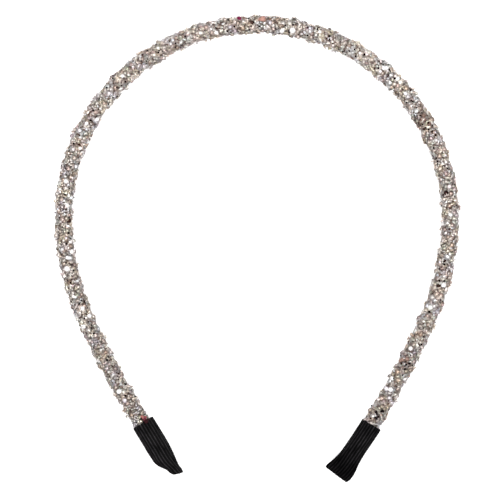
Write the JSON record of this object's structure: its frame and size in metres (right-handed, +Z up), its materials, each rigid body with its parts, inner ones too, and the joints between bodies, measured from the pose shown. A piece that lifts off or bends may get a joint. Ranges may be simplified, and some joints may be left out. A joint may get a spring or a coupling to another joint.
{
  "type": "sequin headband",
  "caption": "Slim round hair band bent to an open arch, covered in silver glitter and sequins, with a ribbed black knit sleeve pressed flat over each end.",
  "frame": {"origin": "on the surface it lies on, under the middle of its outline", "axes": "+Z up from the surface, +Y in the arch's plane towards the crown, +X to the right seen from above"},
  "size_m": [0.1214, 0.14, 0.0079],
  "materials": {
    "sequin_glitter": "silver metallised film flakes, glued on all over",
    "rib_knit": "matt ribbed elastic knit"
  },
  "bodies": {
    "root": {"sequin_band": "sequin_glitter", "sleeve_left": "rib_knit", "sleeve_right": "rib_knit"}
  },
  "joints": []
}
